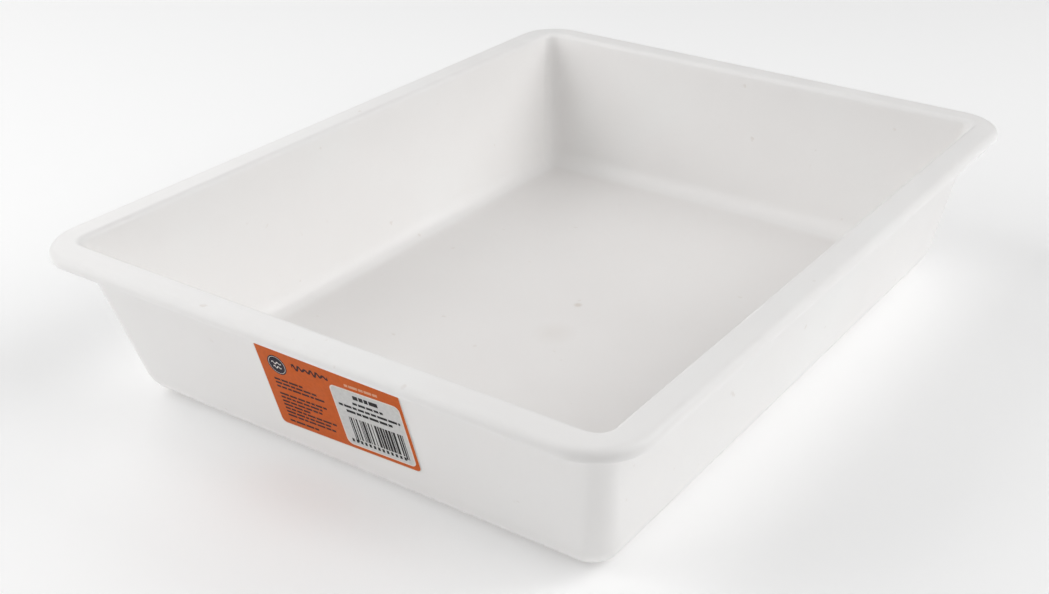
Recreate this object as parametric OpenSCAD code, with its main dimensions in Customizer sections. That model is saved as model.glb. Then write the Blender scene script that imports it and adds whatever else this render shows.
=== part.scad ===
// Deep flat-floored tray: one moulding with leaning walls, rounded corners and a
// flanged rim that turns down into a short lip, and a printed sticker on one end.
// Millimetres. +Z is up, X runs across the tray and Y along it. The sticker is on
// the end wall that faces -Y. The origin is on the base's underside, at its middle.

/* [Tray] */
// Width over the rim, across the tray
rim_w = 288; // [220:1:360]
// Length over the rim, along the tray
rim_l = 368; // [280:1:460]
// Height of the tray, from its base to the top of the rim
tray_h = 75; // [60:1:110]
// Thickness of the floor and the walls
wall_t = 2.2; // [1.4:0.1:3]

/* [Walls] */
// Lean of the two long walls, degrees from upright
side_draft = 8.8; // [4:0.1:12]
// Lean of the two end walls, degrees from upright
end_draft = 12.4; // [6:0.1:15]
// Radius of the upright outer corners just under the rim
corner_top_r = 8.5; // [6:0.5:20]
// Radius of the upright outer corners at the foot of the walls
corner_foot_r = 13; // [12:0.5:20]
// Radius of the rounded outer edge between the walls and the base
foot_r = 14; // [6:0.5:17]

/* [Rim] */
// How far the rim stands out past the walls
overhang = 12; // [8:0.5:20]
// Radius of the rim's outer corners, seen from above
rim_corner_r = 24; // [14:1:40]
// Thickness of the flat flange and of the lip
flange_t = 2.2; // [1.4:0.1:3]
// Height of the lip, from the top of the rim down
lip_h = 4.9; // [4.8:0.1:10]
// Radius of the rounded edge where the flange turns down into the lip
rim_edge_r = 4; // [3.2:0.1:4.8]
// Radius of the rounded edge between the flange and the inside of the walls
inner_edge_r = 3; // [1:0.1:5]

/* [Sticker] */
// Width of the sticker
label_w = 73; // [30:1:100]
// Height of the sticker, measured up the leaning wall
label_h = 43; // [15:1:52]
// Thickness of the sticker's film
label_t = 0.15; // [0.1:0.05:0.4]
// Radius of the sticker's corners
label_r = 2.5; // [0.5:0.5:4]
// Distance of the sticker's middle to the right of the end wall's middle
label_x = 4.6; // [-30:0.1:30]
// Distance of the sticker's middle up the wall from the middle of the wall's flat stretch
label_up = -2.4; // [-3:0.1:3]
// Turn of the sticker, anticlockwise, because it is stuck on a little crooked
label_turn = 2.4; // [-3:0.1:3]

/* [Hidden] */

// Steps in each rounded corner, seen from above
corner_steps = 12;
// Steps in the rounded edge at the foot of the walls
foot_steps = 7;
// Steps in the small rounded edges of the rim
edge_steps = 4;
// Inside radius of the rounded foot, which keeps the wall's thickness round it
floor_r = foot_r - wall_t;
// Inside radius of the turned-down rim, which keeps the flange's thickness round it
lip_inner_r = rim_edge_r - flange_t;
// Height of the middle of the end wall's flat stretch, between its foot and the flange
wall_middle_z = (foot_r * (1 - sin(end_draft)) + tray_h - flange_t) / 2;
// Smallest corner radius of an outline, so that no two of its points coincide
least_r = 0.4;

// Distance of a wall's outer face inwards from the rim's outer edge, at height z
function wall_inset(z, draft) = overhang + (tray_h - z) * tan(draft);

// The same for a face that curves under with radius r and ends at height 0
function foot_inset(z, draft, r) =
    z < r * (1 - sin(draft))
        ? wall_inset(r, draft) + r / cos(draft) - sqrt(r * r - (r - z) * (r - z))
        : wall_inset(z, draft);

function outer_inset(z, draft) = foot_inset(z, draft, foot_r);

// The inner face is the outer one moved in by the wall and up by the floor
function inner_inset(z, draft) =
    foot_inset(z - wall_t, draft, floor_r) + wall_t / cos(draft) - wall_t * tan(draft);

// The inner face again, with the rounded edge at its top
function edge_inset(z, draft) =
    let (middle_z = tray_h - inner_edge_r,
         middle = inner_inset(middle_z, draft) - inner_edge_r / cos(draft))
    z > middle_z + inner_edge_r * sin(draft)
        ? middle + sqrt(inner_edge_r * inner_edge_r - (z - middle_z) * (z - middle_z))
        : inner_inset(z, draft);

// A station is one level outline: [inset of the sides, of the ends, height, corner radius].
// A corner's radius falls as its outline moves in from the wall's outer face.
function wall_station(z, side_inset, end_inset) =
    let (wall_r = corner_foot_r + (corner_top_r - corner_foot_r) * z / tray_h)
    [side_inset, end_inset, z, max(least_r, wall_r - side_inset + wall_inset(z, side_draft))];

function outer_station(z) = wall_station(z, outer_inset(z, side_draft), outer_inset(z, end_draft));
function inner_station(z) = wall_station(z, inner_inset(z, side_draft), inner_inset(z, end_draft));
function edge_station(z) = wall_station(z, edge_inset(z, side_draft), edge_inset(z, end_draft));
function rim_station(inset, z) = [inset, inset, z, rim_corner_r - inset];

// Height of step i up a rounded edge of radius r that runs from level into a wall
function step_z(r, i, steps) = r * (1 - cos((90 - side_draft) * i / steps));

// Station of step i round the turned-down rim, on an arc of radius r about its middle
function turn_station(r, i) =
    let (angle = 90 * i / edge_steps)
    rim_station(rim_edge_r - r * cos(angle), tray_h - rim_edge_r + r * sin(angle));

// The moulding's section: from the base out, up the outside, round the lip, over the
// rim and down the inside to the floor
OUTSIDE = [
    for (i = [0 : foot_steps]) outer_station(step_z(foot_r, i, foot_steps)),
    outer_station(tray_h - flange_t)
];
LIP = [
    for (i = [edge_steps : -1 : 0]) turn_station(lip_inner_r, i),
    rim_station(flange_t, tray_h - lip_h),
    rim_station(0, tray_h - lip_h),
    for (i = [0 : edge_steps]) turn_station(rim_edge_r, i)
];
INSIDE = [
    for (i = [0 : edge_steps]) edge_station(tray_h - step_z(inner_edge_r, i, edge_steps)),
    for (i = [foot_steps : -1 : 0]) inner_station(wall_t + step_z(floor_r, i, foot_steps))
];

// Points of a station's outline, a rounded rectangle, anticlockwise from above
function outline(station) =
    let (r = station[3],
         x = rim_w / 2 - station[0] - r,
         y = rim_l / 2 - station[1] - r)
    [
        for (corner = [0 : 3], i = [0 : corner_steps])
            let (angle = 90 * (corner + i / corner_steps),
                 middle = [[x, y], [-x, y], [-x, -y], [x, -y]][corner])
            [middle[0] + r * cos(angle), middle[1] + r * sin(angle), station[2]]
    ];

// A closed skin over a row of stations, with flat ends
module loft(stations) {
    n = 4 * (corner_steps + 1);
    last = (len(stations) - 1) * n;
    polyhedron(
        points = [for (station = stations) each outline(station)],
        faces = [
            [for (i = [0 : n - 1]) i],
            [for (i = [n - 1 : -1 : 0]) last + i],
            for (k = [0 : n : last - n], i = [0 : n - 1])
                let (a = k + i, b = k + (i + 1) % n)
                each [[a, a + n, b], [b, a + n, b + n]]
        ]
    );
}

module rounded_rectangle(w, h, r) {
    hull()
        for (x = [r - w / 2, w / 2 - r], y = [r - h / 2, h / 2 - r])
            translate([x, y]) circle(r, $fn = 32);
}

module tray() {
    color("whitesmoke") loft(concat(OUTSIDE, LIP, INSIDE));
}

// The sticker lies on the end wall and leans with it
module label() {
    z = wall_middle_z + label_up * cos(end_draft);
    color("chocolate")
        translate([label_x, wall_inset(z, end_draft) - rim_l / 2, z])
            rotate([90 + end_draft, 0, 0])
                rotate(label_turn)
                    linear_extrude(label_t) rounded_rectangle(label_w, label_h, label_r);
}

tray();
label();
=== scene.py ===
# %% [markdown]
# # A deep white tray with a printed sticker
# The object is one injection-moulded tray of milky white polypropylene: a flat floor, four
# leaning walls, and a flanged rim that turns down into a short lip. A sticker is stuck on one
# end wall, a little crooked. Nothing on it moves, so every piece here rides on the one body.
# The CAD model comes first and stays the measure of everything that follows.

# %% The frame
import math
import random

import bmesh
import bpy
from mathutils import Matrix, Vector


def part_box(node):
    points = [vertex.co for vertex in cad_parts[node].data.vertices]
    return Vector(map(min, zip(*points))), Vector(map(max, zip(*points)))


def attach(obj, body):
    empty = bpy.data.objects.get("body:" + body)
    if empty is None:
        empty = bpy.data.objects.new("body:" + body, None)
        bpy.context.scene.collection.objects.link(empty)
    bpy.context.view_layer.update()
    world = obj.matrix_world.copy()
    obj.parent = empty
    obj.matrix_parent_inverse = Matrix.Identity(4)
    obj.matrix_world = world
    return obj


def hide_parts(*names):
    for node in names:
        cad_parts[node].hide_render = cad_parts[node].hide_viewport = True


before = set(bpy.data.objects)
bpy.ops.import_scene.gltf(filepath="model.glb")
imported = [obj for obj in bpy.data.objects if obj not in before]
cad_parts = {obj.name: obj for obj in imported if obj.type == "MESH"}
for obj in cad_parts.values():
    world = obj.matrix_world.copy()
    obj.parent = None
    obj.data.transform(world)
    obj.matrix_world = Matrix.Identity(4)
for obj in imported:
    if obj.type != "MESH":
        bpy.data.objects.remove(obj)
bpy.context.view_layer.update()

MM, CM = 0.001, 0.01
tray_low, tray_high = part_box("tray")
TRAY_W, TRAY_L, TRAY_H = ((high - low) / MM for low, high in zip(tray_low, tray_high))
print(f"the tray is {TRAY_W:.0f} mm wide, {TRAY_L:.0f} mm long and {TRAY_H:.0f} mm high")

# %% [markdown]
# ## The camera
# A camera stands at a place and is turned by three angles: round the object, down towards
# it, and a little roll. The lens could also be a long one from further off, but a normal
# lens at arm's length gives the near corner its strong size against the far one.

# %% Camera
CAMERA_AT = (0.3395, -0.4931, 0.3294)
CAMERA_AROUND, CAMERA_DOWN, CAMERA_ROLL = 32.365, 29.596, 0.670
SENSOR_W, LENS = 36, 48.71
SHIFT_RIGHT, SHIFT_UP = -0.0888, 0.0406

camera = bpy.data.objects.new("camera", bpy.data.cameras.new("camera"))
camera.matrix_world = (
    Matrix.Translation(CAMERA_AT)
    @ Matrix.Rotation(math.radians(CAMERA_AROUND), 4, "Z")
    @ Matrix.Rotation(math.radians(90 - CAMERA_DOWN), 4, "X")
    @ Matrix.Rotation(math.radians(CAMERA_ROLL), 4, "Z")
)
camera.data.sensor_width = SENSOR_W
camera.data.lens = LENS
camera.data.shift_x, camera.data.shift_y = SHIFT_RIGHT, SHIFT_UP
camera.data.dof.use_dof = False
bpy.context.scene.collection.objects.link(camera)
bpy.context.scene.camera = camera
print("camera at", CAMERA_AT, "m with a", LENS, "mm lens")

# %% [markdown]
# ## The sizes of the moulding
# A moulded tray leans outwards all round, so that it slides out of its mould, and every
# edge is rounded, because melted plastic flows badly round a sharp corner. These are the
# CAD model's own values, in millimetres. An inset is how far a level outline of the tray
# stands in from the rim's outer edge. Two small functions give it for any height.

# %% Sizes
WALL = 2.2
SIDE_LEAN, END_LEAN = math.radians(8.8), math.radians(12.4)
CORNER_TOP_R, CORNER_FOOT_R, LEAST_R = 8.5, 13, 0.4
FOOT_R = 14
FLOOR_R = FOOT_R - WALL
OVERHANG, RIM_CORNER_R = 12, 24
RIM_EDGE_R, LIP_H, INNER_EDGE_R = 4, 4.9, 3


def wall_inset(height, lean):
    """Inset of a wall's outer face at a height."""
    return OVERHANG + (TRAY_H - height) * math.tan(lean)


def foot_inset(height, lean, radius):
    """The same for a face whose foot curves under to height 0."""
    if height >= radius * (1 - math.sin(lean)):
        return wall_inset(height, lean)
    sag = math.sqrt(max(0, radius**2 - (radius - height) ** 2))
    return wall_inset(radius, lean) + radius / math.cos(lean) - sag


def inner_inset(height, lean):
    """Inset of a wall's inner face, which is the outer one moved in by the wall."""
    shift = WALL / math.cos(lean) - WALL * math.tan(lean)
    return foot_inset(height - WALL, lean, FLOOR_R) + shift


def edge_inset(height, lean):
    """The inner face again, with the rounded edge at its top."""
    middle_h = TRAY_H - INNER_EDGE_R
    if height <= middle_h + INNER_EDGE_R * math.sin(lean):
        return inner_inset(height, lean)
    middle = inner_inset(middle_h, lean) - INNER_EDGE_R / math.cos(lean)
    return middle + math.sqrt(max(0, INNER_EDGE_R**2 - (height - middle_h) ** 2))


print(f"foot of a side wall {wall_inset(0, SIDE_LEAN):.1f} mm in from the rim's edge")

# %% [markdown]
# ## Level outlines in a tower
# The tray could be a box with bevelled edges, but its corners are tighter at the top than
# at the foot, and one bevel can't do that. Instead it is built like a boat's hull, from
# level outlines with a skin bridged between them. An outline is a plate whose four corners
# are bevelled, with its face taken away. Bridging goes astray between outlines that share a
# level, so all of them are first stacked as a tower, in the order in which the skin runs.
# Once the skin is on, each slides to its real height.

# %% Outlines
STOREY = 10
CORNER_STEPS, SIDE_CUTS = 20, 11
FOOT_STEPS, EDGE_STEPS, CIRCLE_STEPS = 12, 8, 32
tray_skin = bmesh.new()
tower = []


def outline(side_in, end_in, height, corner_r):
    """A level rounded rectangle that will end at a height."""
    old = set(tray_skin.edges)
    plate = bmesh.ops.create_grid(tray_skin, x_segments=1, y_segments=1, size=0.5)["verts"]
    size = (TRAY_W - 2 * side_in, TRAY_L - 2 * end_in, 1)
    bmesh.ops.scale(tray_skin, vec=size, verts=plate)
    bmesh.ops.translate(tray_skin, vec=(0, 0, STOREY * len(tower)), verts=plate)
    bmesh.ops.bevel(tray_skin, geom=plate, offset=corner_r, segments=CORNER_STEPS,
                    profile=0.5, affect="VERTICES", material=-1)
    edges = [edge for edge in tray_skin.edges if edge not in old]
    bmesh.ops.delete(tray_skin, geom=edges[0].link_faces[:], context="FACES_ONLY")
    straight = sorted(edges, key=lambda edge: edge.calc_length())[-4:]
    bmesh.ops.subdivide_edges(tray_skin, edges=straight, cuts=SIDE_CUTS)
    edges = [edge for edge in tray_skin.edges if edge not in old]
    tower.append((edges, height))
    return edges


def wall_outline(height, side_in, end_in):
    """An outline of the walls, whose corners are tighter further in and further up."""
    upright_r = CORNER_FOOT_R + (CORNER_TOP_R - CORNER_FOOT_R) * height / TRAY_H
    corner_r = upright_r - side_in + wall_inset(height, SIDE_LEAN)
    return outline(side_in, end_in, height, max(LEAST_R, corner_r))


def outer_outline(height):
    """An outline of the walls' outer face, which curves under at the foot."""
    return wall_outline(height, foot_inset(height, SIDE_LEAN, FOOT_R),
                        foot_inset(height, END_LEAN, FOOT_R))


def inner_outline(height):
    """An outline of the walls' inner face, with the rounded edge at its top."""
    return wall_outline(height, edge_inset(height, SIDE_LEAN), edge_inset(height, END_LEAN))


def rim_outline(inset, height):
    """An outline of the rim, which is the same distance in on all four sides."""
    return outline(inset, inset, height, RIM_CORNER_R - inset)


def turned_outline(radius, step):
    """An outline round the turned-down rim, on an arc of that radius."""
    angle = math.pi / 2 * step / EDGE_STEPS
    return rim_outline(RIM_EDGE_R - radius * math.cos(angle),
                       TRAY_H - RIM_EDGE_R + radius * math.sin(angle))


def circle(radius, height):
    """A level circle that will end at a height."""
    ring = bmesh.ops.create_circle(tray_skin, cap_ends=False, segments=CIRCLE_STEPS,
                                   radius=radius)["verts"]
    bmesh.ops.translate(tray_skin, vec=(0, 0, STOREY * len(tower)), verts=ring)
    edges = list({edge for vert in ring for edge in vert.link_edges})
    tower.append((edges, height))


def rise(radius, lean, steps):
    """Heights of the steps round an edge that runs from level into a leaning wall."""
    turn = math.pi / 2 - lean
    return [radius * (1 - math.cos(turn * step / steps)) for step in range(steps + 1)]


# %% [markdown]
# ## The gate, the outside, the rim and the inside
# Melted plastic enters a mould through a gate, in the middle of the base, and leaves a nub
# there. It is set in a shallow well, so that the tray still stands flat. The skin starts at
# that nub, runs out over the base, up the outside, round the lip, over the rim and down the
# inside to the floor. Smooth shading averages the directions of neighbouring faces, so next
# to each rounded edge one more outline in the flat part holds that averaging to the edge.

# %% The tray's outlines
HOLD, RIM_HOLD, FLANGE_HOLD = 1.5, 1, 3
GATE_WELL = ((1.2, 0.15), (1.6, 0.4), (1.9, 0.5), (6, 0.45), (6.4, 0), (7, 0))

for radius, height in GATE_WELL:
    circle(radius, height)

flat_in = FOOT_R + HOLD
wall_outline(0, wall_inset(0, SIDE_LEAN) + flat_in, wall_inset(0, END_LEAN) + flat_in)
for height in rise(FOOT_R, SIDE_LEAN, FOOT_STEPS):
    outer_outline(height)
for height in (FOOT_R + HOLD, TRAY_H / 2, TRAY_H - WALL - FLANGE_HOLD):
    outer_outline(height)
under_flange = outer_outline(TRAY_H - WALL)

for step in range(EDGE_STEPS, -1, -1):
    turned_outline(RIM_EDGE_R - WALL, step)
lip_edges = rim_outline(WALL, TRAY_H - LIP_H) + rim_outline(0, TRAY_H - LIP_H)
for step in range(EDGE_STEPS + 1):
    turned_outline(RIM_EDGE_R, step)
rim_outline(RIM_EDGE_R + RIM_HOLD, TRAY_H)

wall_outline(TRAY_H, edge_inset(TRAY_H, SIDE_LEAN) - RIM_HOLD,
             edge_inset(TRAY_H, END_LEAN) - RIM_HOLD)
for height in rise(INNER_EDGE_R, SIDE_LEAN, EDGE_STEPS):
    inner_outline(TRAY_H - height)
for height in (TRAY_H - INNER_EDGE_R - HOLD, TRAY_H / 2, WALL + FLOOR_R + HOLD):
    inner_outline(height)
for height in reversed(rise(FLOOR_R, SIDE_LEAN, FOOT_STEPS)):
    inner_outline(WALL + height)
wall_outline(WALL, inner_inset(WALL, SIDE_LEAN) + HOLD, inner_inset(WALL, END_LEAN) + HOLD)
print(len(tower), "outlines in the tower")

# %% [markdown]
# ## The skin
# The outlines are bridged in pairs, the two ends are closed, and the outlines slide to
# their heights. The lip's lower edge is barely rounded on the real tray, and the flange
# meets the wall in a small hollow: both are plain bevels of edges that the skin now has.

# %% Skin, lip edges and hollow
LIP_EDGE_R, LIP_EDGE_STEPS = 0.6, 3
HOLLOW, HOLLOW_STEPS = 1.2, 4
loops = [edges for edges, height in tower]
for lower, upper in zip(loops, loops[1:]):
    bmesh.ops.bridge_loops(tray_skin, edges=lower + upper)
for end in (loops[0], loops[-1]):
    bmesh.ops.contextual_create(tray_skin, geom=end)
for edges, height in tower:
    verts = list({vert for edge in edges for vert in edge.verts})
    bmesh.ops.translate(tray_skin, vec=(0, 0, height - verts[0].co.z), verts=verts)

for edges, offset, steps in ((lip_edges, LIP_EDGE_R, LIP_EDGE_STEPS),
                             (under_flange, HOLLOW, HOLLOW_STEPS)):
    bmesh.ops.bevel(tray_skin, geom=edges, offset=offset, segments=steps,
                    profile=0.5, affect="EDGES", material=-1)
print("open edges left in the tray:", sum(not edge.is_manifold for edge in tray_skin.edges))
plastic_volume = abs(tray_skin.calc_volume()) * MM**3 / CM**3
print(f"plastic in the tray: {plastic_volume:.0f} cubic centimetres")

# %% [markdown]
# ## From a bmesh to a piece
# Each finished mesh becomes an object at the origin, in metres. Its normals are worked out
# again so that they point outwards. The tray is shaded smooth, because nearly all of it is
# curved or next to a curve. The film and the inks are flat, and stay as they are.

# %% Finish a piece
def finish_piece(skin, name, place=None):
    """Turns a bmesh in millimetres into a piece that rides on the body."""
    bmesh.ops.transform(skin, matrix=place or Matrix.Identity(4), verts=skin.verts)
    bmesh.ops.scale(skin, vec=(MM, MM, MM), verts=skin.verts)
    bmesh.ops.recalc_face_normals(skin, faces=skin.faces)
    mesh = bpy.data.meshes.new(name)
    skin.to_mesh(mesh)
    skin.free()
    piece = bpy.data.objects.new(name, mesh)
    bpy.context.scene.collection.objects.link(piece)
    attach(piece, "root")
    return piece


tray = finish_piece(tray_skin, "tray_moulding")
tray.data.shade_smooth()
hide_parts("tray")
print(tray.name, "has", len(tray.data.polygons), "faces")

# %% [markdown]
# ## The sticker's film
# The sticker is a thin printed film, laid on the leaning end wall. It is drawn flat, with
# the origin at its middle, and one matrix lays it and all its print on the wall, so that
# they can't drift apart. Its size and place are the CAD model's. Only the film is a little
# thinner, which leaves room for the ink.

# %% Sticker film
STICKER_W, STICKER_H, FILM, STICKER_R = 73, 43, 0.13, 2.5
STICKER_RIGHT, STICKER_DOWN, STICKER_TURN = 4.6, 2.4, 2.4
PATCH_CORNER_STEPS = 6
flat_foot = FOOT_R * (1 - math.sin(END_LEAN))
sticker_h = (flat_foot + TRAY_H - WALL) / 2 - STICKER_DOWN * math.cos(END_LEAN)
sticker_y = wall_inset(sticker_h, END_LEAN) - TRAY_L / 2
ON_WALL = (
    Matrix.Translation((STICKER_RIGHT, sticker_y, sticker_h))
    @ Matrix.Rotation(math.pi / 2 + END_LEAN, 4, "X")
    @ Matrix.Rotation(math.radians(STICKER_TURN), 4, "Z")
)


def thicken(skin, faces, thick):
    """Raises a copy of flat faces, which makes a closed plate of them."""
    raised = bmesh.ops.extrude_face_region(skin, geom=faces, use_keep_orig=True)["geom"]
    lifted = [part for part in raised if isinstance(part, bmesh.types.BMVert)]
    bmesh.ops.translate(skin, vec=(0, 0, thick), verts=lifted)


def patch(skin, left, low, right, high, bottom, thick, corner_r):
    """A flat patch of film or ink, with its underside at a level above the wall."""
    plate = bmesh.ops.create_grid(skin, x_segments=1, y_segments=1, size=0.5)["verts"]
    bmesh.ops.scale(skin, vec=(right - left, high - low, 1), verts=plate)
    middle = ((left + right - STICKER_W) / 2, (low + high - STICKER_H) / 2, bottom)
    bmesh.ops.translate(skin, vec=middle, verts=plate)
    face = plate[0].link_faces[0]
    if corner_r:
        old = set(skin.faces) - {face}
        bmesh.ops.bevel(skin, geom=plate, offset=corner_r, segments=PATCH_CORNER_STEPS,
                        profile=0.5, affect="VERTICES", material=-1)
        face = next(face for face in skin.faces if face not in old)
    thicken(skin, [face], thick)


film_skin = bmesh.new()
patch(film_skin, 0, 0, STICKER_W, STICKER_H, 0, FILM, STICKER_R)
film = finish_piece(film_skin, "sticker_film", ON_WALL)
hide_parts("label")
print("the sticker's middle is", round(sticker_h, 1), "mm up")

# %% [markdown]
# ## The print, one ink at a time
# A press lays down one ink after another, and so does this: each ink is a piece of its own,
# about a hundredth of a millimetre thick, and its level says how many inks deep the print is
# there. The words of the real sticker are left out. In their place are rows of small blocks
# of about the same length and weight, plain waves and a plain round badge.

# %% Ink levels
LAYER = 0.012
BARE_EDGE, FIELD_R = 0.35, 2.2
PANEL, PANEL_LINE_W, PANEL_LINE_R, PANEL_R = (36.3, 2.1, 71, 32.7), 0.55, 2.6, 2.1


def ink_base(level):
    """Height of an ink's underside: just off the film, or on top of the level below."""
    return FILM + (level - 0.5) * LAYER


def ink(name, level, patches):
    """One ink: patches of (left, low, right, high, corner radius), on the film."""
    skin = bmesh.new()
    for left, low, right, high, corner_r in patches:
        patch(skin, left, low, right, high, ink_base(level), LAYER, corner_r)
    return finish_piece(skin, name, ON_WALL)


def shrunk(rectangle, margin):
    """A rectangle (left, low, right, high) that is smaller by a margin on all four sides."""
    left, low, right, high = rectangle
    return left + margin, low + margin, right - margin, high - margin


field = ink("print_field", 1, [(*shrunk((0, 0, STICKER_W, STICKER_H), BARE_EDGE), FIELD_R)])
ink("print_panel_line", 2, [(*PANEL, PANEL_LINE_R)])
ink("print_panel", 3, [(*shrunk(PANEL, PANEL_LINE_W), PANEL_R)])
print("printed field, panel line and panel")

# %% [markdown]
# ## Rows of blocks
# A row is a run of word-like blocks between two ends. The lengths come from one seeded
# random generator, so that they look unplanned and still come out the same every time.
# Each row on the left is given as its height and its end, and each row on the panel as its
# height, its start, its end and how thick it is.

# %% Text rows
dice = random.Random(11)
SHORTEST_SHARE, WORD_GAP, LEAST_BLOCK = 0.35, 0.5, 1


def row(start, end, level_up, thick, longest=5.0):
    """Blocks of random length from start to end, at a height on the sticker."""
    blocks = []
    while start < end - LEAST_BLOCK:
        stop = min(end, start + dice.uniform(SHORTEST_SHARE, 1) * longest)
        blocks.append((start, level_up - thick / 2, stop, level_up + thick / 2, 0))
        start = stop + WORD_GAP
    return blocks


ROWS_START, ROWS_THICK = 5.2, 1.0
FIRST_ROWS = ((25.0, 20.2), (23.1, 26.8), (21.1, 31.4))
SECOND_ROWS = ((17.3, 30.7), (15.4, 27.2), (13.4, 26.4), (11.5, 19.3),
               (9.6, 32.6), (7.7, 28.8), (5.8, 32.4), (2.9, 21.6))
small_rows = []
for up, end in FIRST_ROWS + SECOND_ROWS:
    small_rows += row(ROWS_START, end, up, ROWS_THICK)
ink("print_small_rows", 2, small_rows)

PANEL_ROWS = ((29.4, 47.5, 60.8, 2.0), (26.1, 46.4, 61.5, 1.2), (23.5, 38.6, 69.2, 1.2),
              (21.0, 41.7, 66.1, 1.3))
panel_rows = []
for up, start, end, thick in PANEL_ROWS:
    panel_rows += row(start, end, up, thick)
print(len(small_rows), "small blocks and", len(panel_rows), "panel blocks")

# %% [markdown]
# ## Upright bars
# The block of upright bars is a pattern of its own, with random widths and spaces, so it
# says nothing when it is scanned. The longer bars at its ends reach down into the row of
# small blocks below it, which stand where the figures would be.

# %% Bars and figures
BARS_LEFT, BARS_RIGHT, BAR_TOP = 41.6, 68.6, 17.8
BAR_FOOT, LONG_BAR_FOOT = 6.4, 4.9
LONG_BARS_AT_START, LONG_BARS_END_W = 2, 2.2
BAR_WIDTHS, BAR_GAPS = (0.4, 0.8, 1.2), (0.35, 0.35, 0.7, 1.05)
bars, across = [], BARS_LEFT
while across < BARS_RIGHT - min(BAR_WIDTHS):
    wide = dice.choice(BAR_WIDTHS)
    long_bar = len(bars) < LONG_BARS_AT_START or across > BARS_RIGHT - LONG_BARS_END_W
    foot = LONG_BAR_FOOT if long_bar else BAR_FOOT
    bars.append((across, foot, min(across + wide, BARS_RIGHT), BAR_TOP, 0))
    across += wide + dice.choice(BAR_GAPS)

FIGURE_COUNT, FIGURES_LEFT, FIGURE_STEP, FIGURE_W = 13, 39.2, 2.2, 1.2
FIGURES_LOW, FIGURES_HIGH = 4.1, 5.8
figures = []
for number in range(FIGURE_COUNT):
    start = FIGURES_LEFT + FIGURE_STEP * number
    figures.append((start, FIGURES_LOW, start + FIGURE_W, FIGURES_HIGH, 0))
ink("print_panel_rows", 4, panel_rows + bars + figures)
print(len(bars), "bars over", len(figures), "small blocks")

# %% [markdown]
# ## The round badge
# The badge is three discs of ink, one on top of the other: a dark ground, a white disc, and
# a dark middle that leaves only a thin white ring of it. Each is given as its name, its
# radius and its level.

# %% Badge
BADGE_AT, DISC_STEPS = (9.7, 33), 48
BADGE_DISCS = (("print_badge_ground", 4.8, 2), ("print_badge_ring", 4.25, 3),
               ("print_badge_middle", 4.05, 4))
for name, radius, level in BADGE_DISCS:
    disc = bmesh.new()
    bmesh.ops.create_circle(disc, cap_ends=True, segments=DISC_STEPS, radius=radius)
    middle = (BADGE_AT[0] - STICKER_W / 2, BADGE_AT[1] - STICKER_H / 2, ink_base(level))
    bmesh.ops.translate(disc, vec=middle, verts=disc.verts)
    thicken(disc, disc.faces[:], LAYER)
    finish_piece(disc, name, ON_WALL)
    print(name, "is a disc", 2 * radius, "mm across")

# %% [markdown]
# ## Wave strokes
# Where the real sticker has a word in script, this one has a plain wavy stroke: a long
# strip of small faces whose points are moved up and down along a wave. Its humps swell and
# shrink a little along the way, as a pen's would. The badge carries two small ones. Each
# is given in the order in which the function names its values.

# %% Waves
HUMP_STEPS, SWELL, SWELL_RATE = 24, 0.3, 2.1
WAVES = (("print_wave", 18.2, 36.8, 35.0, 2.2, 6, 1.0, 2),
         ("print_badge_wave", 7.2, 12.2, 34.0, 1.1, 2, 0.45, 5),
         ("print_badge_wave_low", 7.6, 11.8, 31.9, 1.1, 2, 0.45, 5))


def wave(name, start, end, level_up, height, humps, thick, level):
    """A wavy stroke of ink from start to end, as thick on its slopes as on its crests."""
    skin = bmesh.new()
    strip = bmesh.ops.create_grid(skin, x_segments=HUMP_STEPS * humps, y_segments=1,
                                  size=0.5)["verts"]
    for vert in strip:
        along = (vert.co.x + 0.5) * humps
        swing = height / 2 * (1 - SWELL + SWELL * math.sin(along * SWELL_RATE))
        slope = swing * math.cos(along * math.tau) * math.tau * humps / (end - start)
        vert.co.y = vert.co.y * thick * math.hypot(1, slope) + swing * math.sin(along * math.tau)
    bmesh.ops.scale(skin, vec=(end - start, 1, 1), verts=strip)
    middle = ((start + end - STICKER_W) / 2, level_up - STICKER_H / 2, ink_base(level))
    bmesh.ops.translate(skin, vec=middle, verts=strip)
    thicken(skin, skin.faces[:], LAYER)
    finish_piece(skin, name, ON_WALL)
    print(name, "has", humps, "humps")


for values in WAVES:
    wave(*values)

# %% [markdown]
# ## The pale row
# One more row of blocks stands above the panel, in a pale ink. It comes last because it
# draws its lengths after all the others.

# %% Pale row
PALE_START, PALE_END, PALE_UP, PALE_THICK, PALE_LONGEST = 45.1, 62.8, 34.8, 1.2, 4.5
pale_row = row(PALE_START, PALE_END, PALE_UP, PALE_THICK, PALE_LONGEST)
ink("print_pale_row", 2, pale_row)
print(len(pale_row), "pale blocks")

# %% [markdown]
# ## Materials
# Plain colours would look like a drawing. Each finish below gets small changes of colour
# and gloss over its surface, and a bump as fine as the real thing's. All patterns read
# object coordinates in metres, so a noise scale of 100 means a pattern about 10 mm across.

# %% Material helpers
MIX_FIRST, MIX_SECOND, MIX_RESULT = 6, 7, 2


def new_finish(name):
    """A material, its node tree and its main shader, ready for more nodes."""
    finish = bpy.data.materials.new(name)
    finish.use_nodes = True
    return finish, finish.node_tree, finish.node_tree.nodes["Principled BSDF"]


def object_place(tree):
    """Where each point lies on the object, in metres."""
    return tree.nodes.new("ShaderNodeTexCoord").outputs["Object"]


def noise(tree, place, scale, detail=3.0, roughness=0.5):
    """A cloudy pattern between 0 and 1, mostly near a half."""
    texture = tree.nodes.new("ShaderNodeTexNoise")
    texture.inputs["Scale"].default_value = scale
    texture.inputs["Detail"].default_value = detail
    texture.inputs["Roughness"].default_value = roughness
    tree.links.new(place, texture.inputs["Vector"])
    return texture.outputs["Fac"]


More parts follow.
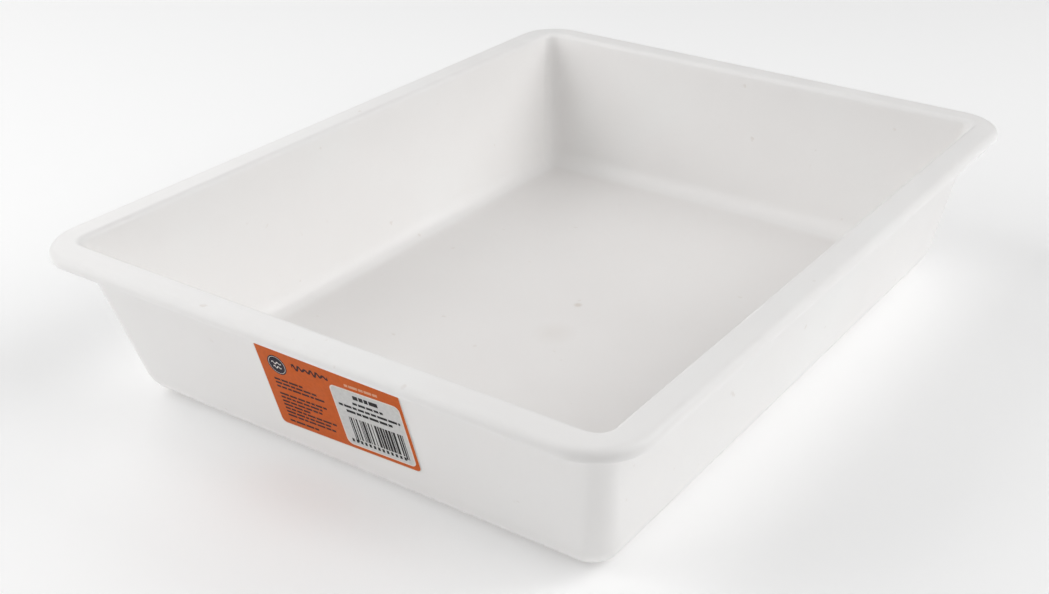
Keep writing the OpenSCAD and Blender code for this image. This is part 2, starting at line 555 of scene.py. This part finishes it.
def spread(tree, value, low, high, start=0.3, stop=0.7):
    """Spreads a value's range from start to stop over low to high."""
    node = tree.nodes.new("ShaderNodeMapRange")
    for key, number in (("From Min", start), ("From Max", stop), ("To Min", low), ("To Max", high)):
        node.inputs[key].default_value = number
    tree.links.new(value, node.inputs["Value"])
    return node.outputs["Result"]


def mix_colours(tree, share, one, other):
    """Goes from one colour, fixed or made by a node, to another as the share rises."""
    node = tree.nodes.new("ShaderNodeMix")
    node.data_type = "RGBA"
    tree.links.new(share, node.inputs["Factor"])
    if isinstance(one, tuple):
        node.inputs[MIX_FIRST].default_value = (*one, 1)
    else:
        tree.links.new(one, node.inputs[MIX_FIRST])
    node.inputs[MIX_SECOND].default_value = (*other, 1)
    return node.outputs[MIX_RESULT]


def distance_from(tree, place, point):
    """How far each place is from a point."""
    node = tree.nodes.new("ShaderNodeVectorMath")
    node.operation = "DISTANCE"
    tree.links.new(place, node.inputs[0])
    node.inputs[1].default_value = point
    return node.outputs["Value"]


def larger(tree, one, other):
    """The larger of two values."""
    node = tree.nodes.new("ShaderNodeMath")
    node.operation = "MAXIMUM"
    tree.links.new(one, node.inputs[0])
    tree.links.new(other, node.inputs[1])
    return node.outputs["Value"]


def height_of(tree, place):
    """The height of each place."""
    node = tree.nodes.new("ShaderNodeSeparateXYZ")
    tree.links.new(place, node.inputs["Vector"])
    return node.outputs["Z"]


def bump(tree, height, strength, distance, under=None):
    """Small dents and humps, on top of others where there are any."""
    node = tree.nodes.new("ShaderNodeBump")
    node.inputs["Strength"].default_value = strength
    node.inputs["Distance"].default_value = distance
    tree.links.new(height, node.inputs["Height"])
    if under:
        tree.links.new(under, node.inputs["Normal"])
    return node.outputs["Normal"]


# %% [markdown]
# ## Milky polypropylene
# White polypropylene is not quite white and not quite solid: a little light sinks in and
# comes out again nearby, which softens its shadows. Its skin has a faint orange-peel from
# the mould and a soft, waxy gloss that is duller where it has been handled. A small grey
# mark and a smudge show on the floor, near its middle, and a few specks were moulded in.
# Everything below about 3 mm, the flat of the floor and the base, is a little greyer: that is
# painted shade where the tray sits low on its floor.
# Each floor mark is given as its middle, its strength, and the two distances from the middle
# between which it fades out.

# %% Tray plastic
DIM_WHITE, BRIGHT_WHITE = (0.906, 0.894, 0.884), (0.928, 0.916, 0.906)
# The first grey below is painted shade low in the tray, with its share and the heights between
# which it fades out; the second grey is that of the marks and specks.
SHADED_GREY, MARK_GREY = (0.80, 0.765, 0.745), (0.76, 0.72, 0.68)
SHADE_SHARE, SHADE_STARTS, SHADE_ENDS = 0.28, 0.0022, 0.0031
FLOOR_MARKS = (((-0.0034, 0.0115, WALL * MM), 1, 0.001, 0.0025),
               ((0.003, -0.018, WALL * MM), 0.25, 0.002, 0.012))
CLOUD_SCALE, SPECK_SCALE, HANDLED_SCALE, PEEL_SCALE, WAVY_SCALE = 14, 170, 60, 500, 25
SPECK_STRENGTH, SPECK_STARTS, SPECK_FULL = 0.5, 0.74, 0.8
GLOSSIEST, DULLEST, SINKS_IN = 0.36, 0.5, 0.0014
plastic, tree, shader = new_finish("milky_polypropylene")
place = object_place(tree)

cloud = spread(tree, noise(tree, place, CLOUD_SCALE), 0, 1)
clean = mix_colours(tree, cloud, DIM_WHITE, BRIGHT_WHITE)
# Painted shade: a little grey below about 2 mm in height, fading out by about 3 mm.
painted_shade = spread(tree, height_of(tree, place), SHADE_SHARE, 0, SHADE_STARTS, SHADE_ENDS)
clean_and_shaded = mix_colours(tree, painted_shade, clean, SHADED_GREY)
specks = noise(tree, place, SPECK_SCALE, detail=2, roughness=0.4)
marks = spread(tree, specks, 0, SPECK_STRENGTH, SPECK_STARTS, SPECK_FULL)
for middle, strength, fades_from, fades_to in FLOOR_MARKS:
    apart = distance_from(tree, place, middle)
    marks = larger(tree, spread(tree, apart, strength, 0, fades_from, fades_to), marks)
tree.links.new(mix_colours(tree, marks, clean_and_shaded, MARK_GREY), shader.inputs["Base Color"])

handled = noise(tree, place, HANDLED_SCALE, detail=5)
tree.links.new(spread(tree, handled, GLOSSIEST, DULLEST), shader.inputs["Roughness"])
peel = bump(tree, noise(tree, place, PEEL_SCALE, detail=2), strength=0.15, distance=0.0001)
waviness = noise(tree, place, WAVY_SCALE, detail=1)
tree.links.new(bump(tree, waviness, strength=0.2, distance=0.0004, under=peel),
               shader.inputs["Normal"])
shader.inputs["IOR"].default_value = 1.49
shader.inputs["Subsurface Weight"].default_value = 1
shader.inputs["Subsurface Radius"].default_value = (1, 1, 1)
shader.inputs["Subsurface Scale"].default_value = SINKS_IN
tray.data.materials.append(plastic)
print(plastic.name, "on", tray.name, "with", len(FLOOR_MARKS), "floor marks")

# %% [markdown]
# ## Inks and film
# Printed film is about as smooth as the plastic round it, but it mirrors less. Screened ink
# is never quite even, so each colour drifts a little towards a darker one, at the size of
# the dots, and its gloss changes where fingers have rubbed it.

# %% Inks
INKS = {
    "white": ((0.88, 0.84, 0.79), ("sticker_film", "print_panel_line", "print_badge_ring",
                                   "print_badge_wave", "print_badge_wave_low")),
    "orange": ((0.66, 0.115, 0.006), ("print_field",)),
    "grey": ((0.72, 0.72, 0.71), ("print_panel",)),
    "maroon": ((0.03, 0.006, 0.006), ("print_small_rows", "print_wave")),
    "black": ((0.012, 0.012, 0.013), ("print_panel_rows",)),
    "navy": ((0.012, 0.007, 0.022), ("print_badge_ground", "print_badge_middle")),
    "pale": ((0.78, 0.42, 0.26), ("print_pale_row",)),
}
DOT_SCALE, RUBBED_SCALE, GRAIN_SCALE = 700, 120, 900
DARKER, INK_GLOSSIEST, INK_DULLEST, INK_MIRRORS = 0.88, 0.32, 0.48, 0.15

for name, (colour, pieces) in INKS.items():
    finish, tree, shader = new_finish("ink_" + name)
    place = object_place(tree)
    uneven = spread(tree, noise(tree, place, DOT_SCALE, detail=4), 0, 1)
    darker = tuple(DARKER * part for part in colour)
    tree.links.new(mix_colours(tree, uneven, darker, colour), shader.inputs["Base Color"])
    rubbed = noise(tree, place, RUBBED_SCALE, detail=4)
    tree.links.new(spread(tree, rubbed, INK_GLOSSIEST, INK_DULLEST), shader.inputs["Roughness"])
    shader.inputs["Specular IOR Level"].default_value = INK_MIRRORS
    grain = noise(tree, place, GRAIN_SCALE, detail=2)
    tree.links.new(bump(tree, grain, strength=0.1, distance=0.00005), shader.inputs["Normal"])
    for piece_name in pieces:
        bpy.data.objects[piece_name].data.materials.append(finish)
    print(name, "on", ", ".join(pieces))

# %% [markdown]
# ## The floor
# The tray stands on a plain white sweep. A sheet that is much larger than the tray does for
# it, and a faint glow of its own keeps the sheet from going grey round the tray.

# %% Floor
FLOOR_REACH, FLOOR_GLOW = 6, 0.15
floor_skin = bmesh.new()
bmesh.ops.create_grid(floor_skin, x_segments=1, y_segments=1, size=FLOOR_REACH)
floor_mesh = bpy.data.meshes.new("floor")
floor_skin.to_mesh(floor_mesh)
floor_skin.free()
floor = bpy.data.objects.new("floor", floor_mesh)
bpy.context.scene.collection.objects.link(floor)
paper, tree, shader = new_finish("white_floor")
shader.inputs["Base Color"].default_value = (0.9, 0.9, 0.9, 1)
shader.inputs["Roughness"].default_value = 0.9
shader.inputs["Emission Color"].default_value = (1, 1, 1, 1)
shader.inputs["Emission Strength"].default_value = FLOOR_GLOW
floor_mesh.materials.append(paper)
print("a floor that reaches", FLOOR_REACH, "m to each side")

# %% [markdown]
# ## The lights
# White plastic shows its shape only through small differences of light, so no one lamp may
# win. Three soft ones on the right light the walls that face them, the strongest of them
# from behind. Five on the left, from behind round to the front, open up the shadows, and
# pale surroundings lift what is left. Each is a round lamp that looks at the middle of the
# tray, given as its place and its size in metres and its power in watts.

# %% Lights
LIGHTS = {
    "light_right": ((1.95, -0.2, 1.0), 1.0, 6.0),
    "light_high_right": ((1.2, 0.3, 1.6), 1.4, 8.6),
    "light_right_back": ((1.3, 1.2, 1.2), 1.2, 14.2),
    "light_left": ((-1.7, 0, 1.2), 1.4, 5.2),
    "light_left_back": ((-1.5, 0.9, 0.8), 1.0, 3.2),
    "light_over_left": ((-0.6, -0.4, 1.0), 0.9, 3.5),
    "light_low_left": ((-1.6, -0.9, 0.5), 0.8, 2.8),
    "light_front_left": ((-1.0, -1.2, 0.8), 1.0, 7.0),
}
TRAY_MIDDLE, SURROUNDINGS = Vector((0, 0, 0.03)), 0.1

for name, (at, size, power) in LIGHTS.items():
    lamp = bpy.data.objects.new(name, bpy.data.lights.new(name, "AREA"))
    lamp.data.shape = "DISK"
    lamp.data.size = size
    lamp.data.energy = power
    turn = (Vector(at) - TRAY_MIDDLE).to_track_quat("Z", "Y").to_matrix().to_4x4()
    lamp.matrix_world = Matrix.Translation(at) @ turn
    bpy.context.scene.collection.objects.link(lamp)

world = bpy.data.worlds.new("surroundings")
world.use_nodes = True
background = world.node_tree.nodes["Background"]
background.inputs["Color"].default_value = (1, 1, 1, 1)
background.inputs["Strength"].default_value = SURROUNDINGS
bpy.context.scene.world = world
bpy.context.scene.view_settings.view_transform = "Standard"
print(len(LIGHTS), "lights and pale surroundings")
